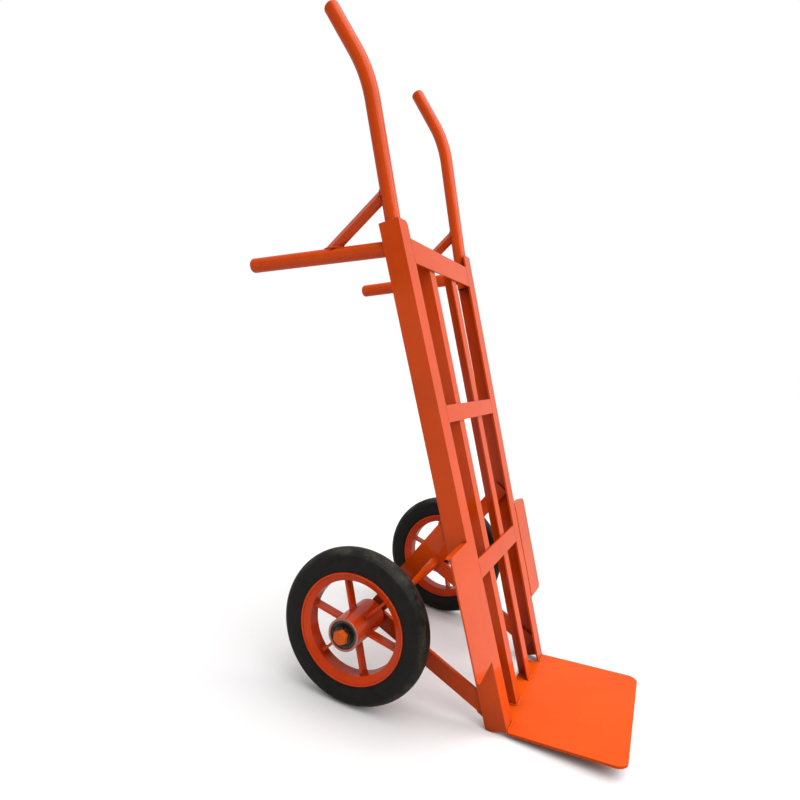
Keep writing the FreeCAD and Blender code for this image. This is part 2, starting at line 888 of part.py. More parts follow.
def axle_bolt(side, sign, begin):
    """Hexagon bolt: its head clamps the washers and inner races against the axle tube."""
    label = "axle_bolt_" + side
    head = doc.addObject("Part::Prism", label + "_head")
    head.Polygon = 6
    bind(head, Circumradius=dim("hex_flats") / 2 / math.cos(math.radians(30)), Height=dim("hex_height"))
    head.Placement = disc_place(sign, begin.value)
    cone_height = dim("hex_height") * 1.2
    crown_radius = dim("hex_crown_radius")
    crown = doc.addObject("Part::Cone", label + "_crown")
    wide_radius = crown_radius + cone_height * trig("tan", "hex_crown_angle")
    bind(crown, Radius1=wide_radius, Radius2=crown_radius, Height=cone_height)
    crown.Placement = disc_place(sign, (begin + dim("hex_height") - cone_height).value)
    chamfered = boolean("Common", label + "_chamfered", head, crown)
    start = dim("shank_inner_end")
    shank_place = disc_place(sign, start.value)
    shank = part_cylinder(label + "_shank", dim("axle_radius"), begin - start, shank_place)
    return boolean("Fuse", label, chamfered, shank)


# ---------------------------------------------------------------- assembly

subparts = [toe_plate(), axle_tube()]
subparts.append(crossbar("crossbar_lower", "lower_bar_level", "lower_bar_height"))
subparts.append(crossbar("crossbar_middle", "middle_bar_level", "middle_bar_height"))
subparts.append(crossbar("crossbar_top", "top_bar_level", "top_bar_height"))

for side, sign in SIDES.items():
    subparts.append(side_rail(side, sign))
    subparts.append(inner_bar(side, sign))
    subparts.append(handle_tube(side, sign))
    subparts.append(rear_tube(side, sign))
    subparts.append(diagonal_brace(side, sign))
    subparts.append(wheel_guard(side, sign))
    subparts.extend(axle_carriers(side, sign))
    subparts.append(tyre(side, sign))
    subparts.append(rim(side, sign))
    subparts.append(spokes(side, sign))
    subparts.append(hub(side, sign))
    outer_race = (dim("race_outer_radius"), dim("bearing_radius"))
    inner_race = (dim("axle_radius"), dim("race_inner_radius"))
    subparts.append(ring_pair("bearing_outer_races_" + side, sign, *outer_race))
    subparts.append(ring_pair("bearing_inner_races_" + side, sign, *inner_race))
    subparts.append(bearing_seals(side, sign))
    subparts.append(bearing_balls(side, sign))
    subparts.append(spacer_sleeve(side, sign))
    stack = dim("hub_outer_end") - dim("bearing_recess")
    thickness = dim("washer_thickness")
    subparts.append(washer("flat_washer_" + side, sign, stack, dim("washer_radius"), thickness))
    stack = stack + thickness
    subparts.append(spring_washer(side, sign, stack))
    stack = stack + dim("spring_washer_thickness")
    subparts.append(axle_bolt(side, sign, stack))

doc.recompute()

for feature in doc.Objects:
    if "Invalid" in feature.State or "Error" in feature.State:
        raise RuntimeError("%s failed to recompute: %s" % (feature.Name, feature.State))

os.makedirs("parts", exist_ok=True)
for subpart in subparts:
    shape = subpart.Shape
    if shape.isNull() or not shape.isValid():
        raise RuntimeError("%s has no valid shape" % subpart.Label)
    shape.exportStep("parts/%s.step" % subpart.Label)
    box = shape.BoundBox
    print("%-28s solids %2d  volume %10.1f  z %7.1f %7.1f" % (
        subpart.Label, len(shape.Solids), shape.Volume, box.ZMin, box.ZMax))
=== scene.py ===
import json
import math
import random

import bmesh
import bpy
from mathutils import Matrix, Vector


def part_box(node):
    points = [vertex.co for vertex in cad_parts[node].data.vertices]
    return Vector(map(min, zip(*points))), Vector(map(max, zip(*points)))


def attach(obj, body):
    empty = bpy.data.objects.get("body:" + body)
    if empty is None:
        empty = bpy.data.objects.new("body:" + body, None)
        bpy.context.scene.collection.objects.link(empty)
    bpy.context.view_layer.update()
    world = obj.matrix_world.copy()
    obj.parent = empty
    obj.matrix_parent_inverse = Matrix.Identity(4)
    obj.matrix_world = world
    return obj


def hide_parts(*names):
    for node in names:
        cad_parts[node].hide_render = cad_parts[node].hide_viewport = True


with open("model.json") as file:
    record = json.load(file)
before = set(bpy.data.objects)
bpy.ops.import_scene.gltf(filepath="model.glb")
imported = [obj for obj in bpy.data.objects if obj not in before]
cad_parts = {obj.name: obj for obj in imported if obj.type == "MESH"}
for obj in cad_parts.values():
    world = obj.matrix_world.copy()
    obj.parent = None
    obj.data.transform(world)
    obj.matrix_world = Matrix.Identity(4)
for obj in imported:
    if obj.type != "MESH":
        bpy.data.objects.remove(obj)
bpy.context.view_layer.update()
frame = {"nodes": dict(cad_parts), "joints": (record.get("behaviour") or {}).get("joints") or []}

# The look of a welded steel hand truck: enamel, rubber, bearing steel and weld beads.
# Metres, +Z up, the toe plate points to -Y. "right" is the operator's right, at -X.

SIDES = {"right": -1, "left": 1}
NODES = frame["nodes"]

# ---------------------------------------------------------------- sizes shared with the CAD

# The ladder frame leans back from its foot, and its rails spread apart upwards.
LEAN = math.radians(20.9)
SPLAY = math.radians(2.74)
BASE = Vector((0.0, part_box("side_rail_right")[0].y, 0.0112))
BASE_HALF = 0.1705
RAIL_DEPTH = 0.041
RAIL_FLANGE = 0.043
RAIL_WALL = 0.004
RAIL_LENGTH = 0.967

# Handle and rear tubes, and the square brace between them.
TUBE_RADIUS = 0.015
TUBE_INSET = RAIL_WALL + TUBE_RADIUS
HANDLE_SLOPE = math.tan(math.radians(2.6))
REAR_TILTS = {"right": math.radians(10.0), "left": math.radians(8.3)}
REAR_LEVEL = 0.918
DIAGONAL_REACH = 0.155
DIAGONAL_LEVELS = {"right": 1.026, "left": 1.034}
DIAGONAL_SIZE = 0.018
ABOVE_BRACES = 1.1

# Crossbars as (level of the lower edge, height), and the two inner bars.
CROSSBARS = ((0.276, 0.0365), (0.578, 0.0335), (0.887, 0.0475))
CROSSBAR_WALL = 0.004
INNER_CENTERS = {"right": 0.059, "left": 0.048}
INNER_FAN = math.radians(0.95)
INNER_HALF = 0.015
TOE_TILT = math.radians(5.5)

# Wheel guards, and the two flat carriers that hold the axle on each side.
GUARD_BOTTOM = 0.133
GUARD_TOP = 0.357
GUARD_THICKNESS = 0.003
STRUT_LEVEL = 0.398
BRACE_LEVEL = 0.031
CARRIER_HALF = 0.016
CARRIER_THICKNESS = 0.008
AXLE_RADIUS = 0.0136
AXLE = Vector((0.0, frame["joints"][0]["pos_m"][1], frame["joints"][0]["pos_m"][2]))

# Wheels: distances along the axle are from the middle of the truck.
WHEEL_OFFSET = 0.250
HUB_RADIUS = 0.0308
HUB_END = 0.296
HUB_INNER_END = 0.190
SPOKE_COUNT = 6
SPOKE_MIDDLE = 0.247
SPOKE_HALF_WIDTH = 0.010
SPOKE_HALF_THICKNESS = 0.0025
SPOKE_OUTER = 0.090
SPOKE_ANGLES = {"right": math.radians(10.5), "left": math.radians(14.0)}

LEAN_MATRIX = Matrix.Translation(BASE) @ Matrix.Rotation(-LEAN, 4, "X")
FRONT = (LEAN_MATRIX.to_3x3() @ Vector((0, -1, 0))).normalized()
UP_RAIL = (LEAN_MATRIX.to_3x3() @ Vector((0, 0, 1))).normalized()
ACROSS = Vector((1, 0, 0))


def frame_point(x, v, u):
    """A point in frame axes: across, backward from the rails' front, up the rails."""
    return LEAN_MATRIX @ Vector((x, v, u))


def rail_point(sign, inward, v, u):
    """A point in a rail's own axes, measured inward from its outer front corner."""
    foot = Matrix.Translation((sign * BASE_HALF, 0, 0))
    place = LEAN_MATRIX @ foot @ Matrix.Rotation(sign * SPLAY, 4, "Y")
    return place @ Vector((-sign * inward, v, u))


def rail_inward(sign):
    return (rail_point(sign, 1, 0, 0) - rail_point(sign, 0, 0, 0)).normalized()


def rail_back(sign):
    return (rail_point(sign, 0, 1, 0) - rail_point(sign, 0, 0, 0)).normalized()


def handle_center(level):
    """Distance behind the rail's front of the handle tube's centre at that level."""
    return TUBE_INSET - (level - RAIL_LENGTH) * HANDLE_SLOPE


def carrier_x(sign):
    """How far out the carriers' outer face lies where they meet the axle."""
    level = (AXLE.z - BASE.z) * math.cos(LEAN) + (AXLE.y - BASE.y) * math.sin(LEAN)
    return sign * (BASE_HALF + math.tan(SPLAY) * level - RAIL_WALL)


def wheel_point(sign, angle, radius, along):
    """A point on a wheel: angle from +Y towards +Z, distance from the axle, distance outward."""
    return AXLE + Vector((sign * along, radius * math.cos(angle), radius * math.sin(angle)))


# ---------------------------------------------------------------- node materials

class Shader:
    """A small builder for one node material."""

    def __init__(self, name):
        self.material = bpy.data.materials.new(name)
        self.material.use_nodes = True
        self.nodes = self.material.node_tree.nodes
        self.links = self.material.node_tree.links
        self.surface = self.nodes["Principled BSDF"]
        self.place = self.nodes.new("ShaderNodeTexCoord").outputs["Object"]

    def set(self, **values):
        for name, value in values.items():
            self.surface.inputs[name].default_value = value

    def feed(self, socket, source):
        """Link the socket to an output, or set it to a plain value."""
        if hasattr(source, "links"):
            self.links.new(source, socket)
        else:
            socket.default_value = source

    def noise(self, scale, detail=4.0, roughness=0.5, stretch=None):
        node = self.nodes.new("ShaderNodeTexNoise")
        node.inputs["Scale"].default_value = scale
        node.inputs["Detail"].default_value = detail
        node.inputs["Roughness"].default_value = roughness
        place = self.place
        if stretch:
            mapping = self.nodes.new("ShaderNodeMapping")
            mapping.inputs["Scale"].default_value = stretch
            self.links.new(place, mapping.inputs["Vector"])
            place = mapping.outputs["Vector"]
        self.links.new(place, node.inputs["Vector"])
        return node.outputs["Fac"]

    def ramp(self, source, low, high, low_value=0.0, high_value=1.0):
        """Smooth step of the source from low to high, between the two values."""
        node = self.nodes.new("ShaderNodeMapRange")
        node.interpolation_type = "SMOOTHSTEP"
        values = (source, low, high, low_value, high_value)
        for socket, value in zip(node.inputs[:5], values):
            self.feed(socket, value)
        return node.outputs["Result"]

    def combine(self, operation, a, b=0.0):
        node = self.nodes.new("ShaderNodeMath")
        node.operation = operation
        self.feed(node.inputs[0], a)
        self.feed(node.inputs[1], b)
        return node.outputs[0]

    def add(self, a, b):
        return self.combine("ADD", a, b)

    def multiply(self, a, b):
        return self.combine("MULTIPLY", a, b)

    def mix(self, amount, a, b):
        """Colour a, turning to colour b as the amount goes from 0 to 1."""
        node = self.nodes.new("ShaderNodeMix")
        node.data_type = "RGBA"
        self.feed(node.inputs["Factor"], amount)
        self.feed(node.inputs["A"], a)
        self.feed(node.inputs["B"], b)
        return node.outputs["Result"]

    def edges(self, radius):
        """How strongly the surface turns within that distance: near 0 on flats, more at edges."""
        bevel = self.nodes.new("ShaderNodeBevel")
        bevel.samples = 4
        bevel.inputs["Radius"].default_value = radius
        geometry = self.nodes.new("ShaderNodeNewGeometry")
        dot = self.nodes.new("ShaderNodeVectorMath")
        dot.operation = "DOT_PRODUCT"
        self.links.new(bevel.outputs["Normal"], dot.inputs[0])
        self.links.new(geometry.outputs["Normal"], dot.inputs[1])
        return self.combine("SUBTRACT", 1.0, dot.outputs["Value"])

    def openness(self, distance, samples):
        """Near 1 where nothing stands close by, near 0 in corners."""
        node = self.nodes.new("ShaderNodeAmbientOcclusion")
        node.samples = samples
        node.inputs["Distance"].default_value = distance
        return node.outputs["AO"]

    def corner_dirt_and_shade(self, distance):
        """Near 1 in tight corners, where dirt collects and where shade is painted."""
        return self.ramp(self.openness(distance, samples=4), 0.25, 0.8, 1.0, 0.0)

    def radius(self):
        """Distance from the object's own X axis, for turned parts."""
        separate = self.nodes.new("ShaderNodeSeparateXYZ")
        self.links.new(self.place, separate.inputs[0])
        y = self.combine("POWER", separate.outputs["Y"], 2.0)
        z = self.combine("POWER", separate.outputs["Z"], 2.0)
        return self.combine("SQRT", self.add(y, z))

    def bump(self, layers):
        """Stack of (height, strength, distance) layers."""
        normal = None
        for height, strength, distance in layers:
            node = self.nodes.new("ShaderNodeBump")
            node.inputs["Strength"].default_value = strength
            node.inputs["Distance"].default_value = distance
            self.links.new(height, node.inputs["Height"])
            if normal is not None:
                self.links.new(normal, node.inputs["Normal"])
            normal = node.outputs["Normal"]
        self.links.new(normal, self.surface.inputs["Normal"])

    def color(self, source):
        self.feed(self.surface.inputs["Base Color"], source)

    def roughness(self, source):
        self.feed(self.surface.inputs["Roughness"], source)


# The grime colour darkens corners: grime with painted shade.
GRIME_AND_SHADE = (0.085, 0.022, 0.010, 1)
PAINT_SPECKLE = (0.30, 0.12, 0.05, 1)
CHIPPED_STEEL = (0.16, 0.13, 0.11, 1)
RUBBER_TONES = ((0.0085, 0.0085, 0.0078, 1), (0.0165, 0.016, 0.0140, 1))
TREAD_DUST = (0.115, 0.100, 0.070, 1)
RUBBER_SCUFF = (0.10, 0.095, 0.08, 1)
# The grease colour darkens the steel's crevices: grease with painted shade.
GREASE_AND_SHADE = (0.012, 0.011, 0.010, 1)
SEAL_TONES = ((0.006, 0.006, 0.006, 1), (0.020, 0.019, 0.017, 1))


def darker(color, share):
    return tuple(c * share for c in color[:3]) + (1,)


def enamel(name, color, gloss, wear, ior):
    """Sprayed enamel: uneven film, orange peel, painted edge highlights, small chips and dust,
    grime with painted shade in corners, painted shade in recesses.
    """
    shader = Shader(name)
    # Paler colour for the runs, and for the painted highlight on the edges.
    pale_and_highlight = (min(color[0] * 1.08, 1), color[1] * 1.35, color[2] * 1.5, 1)
    clouds = shader.ramp(shader.noise(scale=9.0, detail=5.0, roughness=0.6), 0.3, 0.7)
    tone = shader.mix(clouds, darker(color, 0.90), color)

    # Paler runs down the paint, and paler paint along the edges as a painted highlight.
    streaks = shader.noise(scale=30.0, detail=3.0, roughness=0.6, stretch=(1, 1, 0.25))
    tone = shader.mix(shader.ramp(streaks, 0.58, 0.75, 0.0, 0.45), tone, pale_and_highlight)
    edge = shader.edges(0.0016)
    tone = shader.mix(shader.ramp(edge, 0.02, 0.22, 0.0, 0.6), tone, pale_and_highlight)

    # Grime with painted shade in the corners, fine specks, and chips where the edges are worn.
    patches = shader.ramp(shader.noise(scale=60.0), 0.35, 0.65, 0.1, 0.5)
    grime_and_shade = shader.multiply(shader.corner_dirt_and_shade(0.012), patches)
    tone = shader.mix(grime_and_shade, tone, GRIME_AND_SHADE)
    speckle = shader.ramp(shader.noise(scale=420.0, detail=2.0), 0.72, 0.78, 0.0, 0.16)
    tone = shader.mix(speckle, tone, PAINT_SPECKLE)
    spots = shader.ramp(shader.noise(scale=85.0, detail=6.0, roughness=0.7), 0.62, 0.68)
    worn = shader.multiply(shader.ramp(edge, 0.05, 0.2), spots)
    chip = shader.multiply(worn, wear)

    # Painted shade: deeper, darker colour in wide recesses, where less light reaches.
    recess_painted_shade = shader.ramp(shader.openness(0.13, samples=6), 0.35, 0.85, 0.68, 0.0)
    tone = shader.mix(recess_painted_shade, tone, darker(color, 0.25))
    shader.color(shader.mix(chip, tone, CHIPPED_STEEL))

    film = shader.noise(scale=22.0, detail=6.0, roughness=0.65)
    haze = shader.ramp(film, 0.35, 0.75, gloss, gloss + 0.07)
    shader.roughness(shader.add(haze, shader.multiply(grime_and_shade, 0.3)))
    peel = shader.noise(scale=520.0, detail=2.0, roughness=0.4)
    waves = shader.noise(scale=34.0, detail=2.0, roughness=0.4)
    shader.bump([(waves, 0.08, 0.0010), (peel, 0.05, 0.00012), (chip, -0.5, 0.0002)])
    shader.set(IOR=ior)
    return shader.material


def rubber(name):
    """Black solid rubber, greyer and dustier on the tread."""
    shader = Shader(name)
    mottling = shader.ramp(shader.noise(scale=45.0, detail=6.0, roughness=0.6), 0.3, 0.7)
    tone = shader.mix(mottling, *RUBBER_TONES)
    tread = shader.ramp(shader.radius(), 0.133, 0.149)
    patches = shader.ramp(shader.noise(scale=30.0, detail=7.0, roughness=0.7), 0.42, 0.68)
    dust = shader.multiply(shader.multiply(tread, patches), 0.55)
    tone = shader.mix(dust, tone, TREAD_DUST)
    rubbed = shader.noise(scale=140.0, detail=5.0, roughness=0.7, stretch=(1, 0.3, 1))
    scuff = shader.ramp(rubbed, 0.66, 0.74, 0.0, 0.35)
    shader.color(shader.mix(scuff, tone, RUBBER_SCUFF))

    satin = shader.ramp(mottling, 0, 1, 0.44, 0.56)
    shader.roughness(shader.add(satin, shader.multiply(dust, 0.4)))
    grain = shader.noise(scale=260.0, detail=5.0, roughness=0.6)
    waves = shader.noise(scale=24.0, detail=3.0)
    shader.bump([(grain, 0.30, 0.0003), (waves, 0.2, 0.001)])
    shader.set(IOR=1.32)
    return shader.material


def steel(name, color, roughness, rings_per_metre):
    """Turned steel: fine rings round the axle, light stains, and grease with painted shade in the
    crevices.
    """
    shader = Shader(name)
    rings = shader.combine("FRACT", shader.multiply(shader.radius(), rings_per_metre))
    stain = shader.ramp(shader.noise(scale=120.0, detail=6.0, roughness=0.7), 0.45, 0.7)
    tone = shader.mix(shader.multiply(stain, 0.7), color, darker(color, 0.35))
    # Grease and painted shade darken the crevices.
    shader.color(shader.mix(shader.corner_dirt_and_shade(0.006), tone, GREASE_AND_SHADE))
    shader.roughness(shader.ramp(stain, 0, 1, roughness, roughness + 0.22))
    grain = shader.noise(scale=900.0, detail=2.0)
    shader.bump([(rings, 0.08, 0.00012), (grain, 0.1, 0.00006)])
    shader.set(Metallic=0.95)
    return shader.material


def seal_rubber(name):
    """Moulded black seal with a fine grain and a film of grease."""
    shader = Shader(name)
    wet = shader.ramp(shader.noise(scale=90.0, detail=4.0), 0.4, 0.65)
    shader.color(shader.mix(wet, *SEAL_TONES))
    shader.roughness(shader.ramp(wet, 0, 1, 0.28, 0.5))
    shader.bump([(shader.noise(scale=700.0, detail=3.0), 0.2, 0.00008)])
    return shader.material


FRAME_PAINT = enamel("frame_enamel", (0.80, 0.080, 0.004, 1), gloss=0.09, wear=0.35, ior=1.38)
# The toe plate has the frame's enamel painted brighter and more saturated, as painted light from
# above.
TOE_PAINT_WITH_PAINTED_LIGHT = enamel("toe_plate_enamel_painted_light", (0.90, 0.100, 0.005, 1), gloss=0.20, wear=0.30, ior=1.22)
WHEEL_PAINT = enamel("wheel_enamel", (0.76, 0.060, 0.005, 1), gloss=0.12, wear=0.3, ior=1.40)
BOLT_PAINT = enamel("bolt_enamel", (0.80, 0.120, 0.008, 1), gloss=0.25, wear=0.4, ior=1.36)
TYRE_RUBBER = rubber("tyre_rubber")
RACE_STEEL = steel("race_steel", (0.46, 0.45, 0.42, 1), 0.26, 1400.0)
DARK_STEEL = steel("oiled_steel", (0.12, 0.115, 0.11, 1), 0.34, 900.0)
SEAL_BLACK = seal_rubber("seal_black")

# Nodes by kind; what isn't listed here has the frame's enamel.
NODE_PAINT = {
    "toe_plate": TOE_PAINT_WITH_PAINTED_LIGHT,
    "rim": WHEEL_PAINT,
    "spokes": WHEEL_PAINT,
    "hub": WHEEL_PAINT,
    "axle_bolt": BOLT_PAINT,
    "bearing_outer_races": DARK_STEEL,
    "bearing_inner_races": DARK_STEEL,
    "bearing_balls": RACE_STEEL,
    "bearing_spacer": DARK_STEEL,
    "bearing_seals": SEAL_BLACK,
    "flat_washer": DARK_STEEL,
    "spring_washer": DARK_STEEL,
    "tyre": TYRE_RUBBER,
}
# Widths of the rounded edges that catch the light.
SOFT_EDGES = {
    "toe_plate": 0.0009,
    "crossbar": 0.0007,
    "side_rail": 0.0010,
    "inner_bar": 0.0007,
    "wheel_guard": 0.0008,
    "axle_strut": 0.0009,
    "axle_brace": 0.0009,
    "diagonal_brace": 0.0012,
    "spokes": 0.0008,
    "rim": 0.0009,
    "hub": 0.0006,
    "axle_bolt": 0.0004,
    "flat_washer": 0.0003,
    "spring_washer": 0.0004,
}
SOFT_EDGE_ANGLE = math.radians(35)


def stem(name):
    for ending in ("_right", "_left", "_lower", "_middle", "_top"):
        name = name.removesuffix(ending)
    return name


for node_name, node in NODES.items():
    paint = NODE_PAINT.get(stem(node_name), FRAME_PAINT)
    for slot in node.material_slots:
        slot.material = paint
    width = SOFT_EDGES.get(stem(node_name))
    if width:
        bevel = node.modifiers.new("soft_edges", "BEVEL")
        bevel.width = width
        bevel.segments = 2
        bevel.limit_method = "ANGLE"
        bevel.angle_limit = SOFT_EDGE_ANGLE
        bevel.harden_normals = False

# ---------------------------------------------------------------- mesh pieces


def add_piece(name, mesh, body, material):
    mesh.materials.append(material)
    mesh.shade_smooth()
    piece = bpy.data.objects.new(name, mesh)
    bpy.context.scene.collection.objects.link(piece)
    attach(piece, body)
    return piece


class Beads:
    """Weld beads of one body, gathered into one mesh: each is a rippled, rounded run of metal."""

    RING = 9
    STEP = 0.0011
    RIPPLE_PITCH = 1.1
    RIPPLE_DEPTH = 0.14
    END_SIZE = 0.35
    END_GROWTH = 0.3
    TACK_REACH = 1.3
    TACK_FLATNESS = 0.6

    def __init__(self, seed):
        self.mesh = bmesh.new()
        self.random = random.Random(seed)

    def run(self, points, radius, flat=1.0, normal=None):
        """A bead along a path; flat under 1 lowers it along the normal, as if ground down."""
        line = self.resample([Vector(p) for p in points])
        pitch = radius * self.RIPPLE_PITCH
        phase = self.random.random()
        rings = []
        for i, center in enumerate(line):
            ahead = line[min(i + 1, len(line) - 1)]
            behind = line[max(i - 1, 0)]
            along = (ahead - behind).normalized()
            up = normal or along.orthogonal()
            up = (up - along * up.dot(along)).normalized()
            side = along.cross(up)
            travelled = i * self.STEP / pitch + phase
            wave = abs(math.sin(math.pi * travelled))
            ripple = (1 - self.RIPPLE_DEPTH) + self.RIPPLE_DEPTH * wave
            size = radius * ripple * self.random.uniform(0.95, 1.05)
            from_end = min(i, len(line) - 1 - i)
            size *= min(1.0, self.END_SIZE + self.END_GROWTH * from_end)
            rings.append(self.ring(center, up * size * flat, side * size))
        self.skin(rings)

    def ring(self, center, up, side):
        corners = []
        for k in range(self.RING):
            turn = 2 * math.pi * k / self.RING
            spot = center + up * math.cos(turn) + side * math.sin(turn)
            corners.append(self.mesh.verts.new(spot))
        return corners

    def skin(self, rings):
        for a, b in zip(rings, rings[1:]):
            for k in range(self.RING):
                n = (k + 1) % self.RING
                self.mesh.faces.new((a[k], b[k], b[n], a[n]))
        self.mesh.faces.new(rings[0])
        self.mesh.faces.new(tuple(reversed(rings[-1])))

    def resample(self, points):
        line = []
        for a, b in zip(points, points[1:]):
            count = max(2, round((b - a).length / self.STEP))
            line += [a.lerp(b, i / count) for i in range(count)]
        line.append(points[-1])
        return line

    def tack(self, center, along, radius, normal=None):
        """A short fat spot of weld."""
        half = Vector(along).normalized() * radius * self.TACK_REACH
        ends = [Vector(center) - half, Vector(center) + half]
        self.run(ends, radius, self.TACK_FLATNESS, normal)

    def finish(self, name, body, material):
        mesh = bpy.data.meshes.new(name)
        bmesh.ops.recalc_face_normals(self.mesh, faces=self.mesh.faces)
        self.mesh.to_mesh(mesh)
        self.mesh.free()
        return add_piece(name, mesh, body, material)


def arc_points(center, across, up, radius, start, stop, steps=20):
    """Points on part of a circle, angles in degrees from across towards up."""
    points = []
    for i in range(steps + 1):
        angle = math.radians(start + (stop - start) * i / steps)
        points.append(center + (across * math.cos(angle) + up * math.sin(angle)) * radius)
    return points


def turned_up(direction):
    """The direction or its opposite, whichever points up the rails."""
    if direction.dot(UP_RAIL) < 0:
        direction.negate()
    return direction


# How far the middle of a bead stands off the surfaces it joins.
SKIN = 0.0001
FLUSH = 0.0002
CLEAR = 0.0004
PROUD = 0.0006

# Radii of the beads.
CROSSBAR_FRONT_BEAD = 0.0024
CROSSBAR_BACK_BEAD = 0.0030
INNER_BAR_BEAD = 0.0024
TUBE_BEAD = 0.0028
TUBE_TOP_BEAD = 0.0026
REAR_ROOT_BEAD = 0.0030
DIAGONAL_BEAD = 0.0024
GUARD_FRONT_BEAD = 0.0016
GUARD_TACK = 0.0040
GUARD_BACK_BEAD = 0.0026
CARRIER_BEAD = 0.0024
AXLE_BEAD = 0.0025
TOE_RAIL_BEAD = 0.0022
TOE_INNER_BEAD = 0.0024
SPOKE_BEAD = 0.0019

# How flat a bead is left: ground down, or only a little lower than round.
GROUND = 0.12
LOWERED = 0.8

# Half the height of the bead at the rear tube's root.
REAR_ROOT_HALF = 0.012
# Parts of the circles that the beads round a tube cover, in degrees.
TUBE_TOP_ARCS = ((-140, -60), (150, 215))
REAR_SADDLE_ARC = (-70, 100)
CARRIER_AXLE_ARC = (-62, 62)
# Slanting joints divide by a sine, which is kept from falling below these.
DIAGONAL_LEAST_SINE = 0.5
CARRIER_LEAST_SINE = 0.3


def ladder_welds(beads):
    """Crossbars to rails, ground down in front and raised behind, and to the inner bars."""
    margin = 0.001
    for level, height in CROSSBARS:
        for sign in SIDES.values():
            levels = (level + margin, level + height - margin)
            front = [rail_point(sign, RAIL_FLANGE, -SKIN, u) for u in levels]
            beads.run(front, CROSSBAR_FRONT_BEAD, GROUND, FRONT)
            back = [rail_point(sign, RAIL_FLANGE, RAIL_WALL, u) for u in levels]
            beads.run(back, CROSSBAR_BACK_BEAD, LOWERED, FRONT)

    # The inner bars end half way up the top crossbar.
    top_level, top_height = CROSSBARS[2]
    margin = 0.002
    for side, sign in SIDES.items():
        for level, height in CROSSBARS[:2] + ((top_level, top_height / 2),):
            for edge in (-1, 1):
                ends = []
                for u in (level + margin, level + height - margin):
                    middle = sign * (INNER_CENTERS[side] + math.tan(INNER_FAN) * u)
                    x = middle + edge * (INNER_HALF + PROUD)
                    ends.append(frame_point(x, CROSSBAR_WALL + CLEAR, u))
                beads.run(ends, INNER_BAR_BEAD)


def tube_welds(beads):
    """Handle and rear tubes in the corner of each rail, and the brace between them."""
    for side, sign in SIDES.items():
        handle_welds(beads, sign)
        rear_welds(beads, side, sign)


def handle_welds(beads, sign):
    """Two seams where the handle tube lies in the rail's corner, and two arcs at its top."""
    seam_levels = (0.892, 0.964)
    beside = 0.0085
    web_side, flange_side = [], []
    for u in seam_levels:
        back = handle_center(u) + beside
        web_side.append(rail_point(sign, RAIL_WALL + 0.0015, back, u))
        flange_side.append(rail_point(sign, TUBE_INSET + beside, RAIL_WALL + 0.0012, u))
    beads.run(web_side, TUBE_BEAD)
    beads.run(flange_side, TUBE_BEAD)

    top = rail_point(sign, TUBE_INSET, handle_center(RAIL_LENGTH), RAIL_LENGTH)
    inward, back = rail_inward(sign), rail_back(sign)
    for start, stop in TUBE_TOP_ARCS:
        arc = arc_points(top, inward, back, TUBE_RADIUS + PROUD, start, stop)
        beads.run(arc, TUBE_TOP_BEAD)


def rear_welds(beads, side, sign):
    """The rear tube on the rail's edge and on the handle tube, and both ends of the brace."""
    tilt = REAR_TILTS[side]
    inward = rail_inward(sign)
    rail_edge = RAIL_DEPTH + CLEAR
    rise = math.tan(tilt) * (rail_edge - handle_center(REAR_LEVEL))
    ends = []
    for du in (-REAR_ROOT_HALF, REAR_ROOT_HALF):
        ends.append(rail_point(sign, RAIL_WALL + 0.001, rail_edge, REAR_LEVEL + rise + du))
    beads.run(ends, REAR_ROOT_BEAD)

    rear_tip = rail_point(sign, 0, math.cos(tilt), math.sin(tilt))
    rear_along = rear_tip - rail_point(sign, 0, 0, 0)
    rear_along.normalize()
    rear_up = turned_up(rear_along.cross(inward))
    saddle_level = REAR_LEVEL + math.tan(tilt) * TUBE_RADIUS
    saddle_back = handle_center(REAR_LEVEL) + TUBE_RADIUS
    saddle = rail_point(sign, TUBE_INSET, saddle_back, saddle_level)
    arc = arc_points(saddle, inward, rear_up, TUBE_RADIUS + CLEAR, *REAR_SADDLE_ARC)
    beads.run(arc, TUBE_BEAD)

    # The brace's own axis, and where it meets the skin of each tube.
    rear_start = rail_point(sign, TUBE_INSET, handle_center(REAR_LEVEL), REAR_LEVEL)
    low = rear_start + rear_along * DIAGONAL_REACH
    high_level = DIAGONAL_LEVELS[side]
    high = rail_point(sign, TUBE_INSET, handle_center(high_level), high_level)
    along = (high - low).normalized()
    up = turned_up(along.cross(inward).normalized())
    foot_sine = max(abs(along.dot(rear_up)), DIAGONAL_LEAST_SINE)
    foot = low + along * (TUBE_RADIUS / foot_sine)
    upper = rail_point(sign, TUBE_INSET, handle_center(ABOVE_BRACES), ABOVE_BRACES)
    tube_up = (upper - high).normalized()
    tube_back = tube_up.cross(inward).normalized()
    head_sine = max(abs(along.dot(tube_back)), DIAGONAL_LEAST_SINE)
    head = high - along * (TUBE_RADIUS / head_sine)

    half = DIAGONAL_SIZE / math.sqrt(2)
    for spot, slide in ((foot, rear_along), (head, tube_up)):
        corners = []
        for quarter in range(5):
            a = math.pi / 2 * quarter
            offset = inward * math.cos(a) * half
            lean = slide * math.sin(a) * half / max(abs(slide.dot(up)), DIAGONAL_LEAST_SINE)
            corners.append(spot + offset + lean)
        beads.run(corners, DIAGONAL_BEAD)


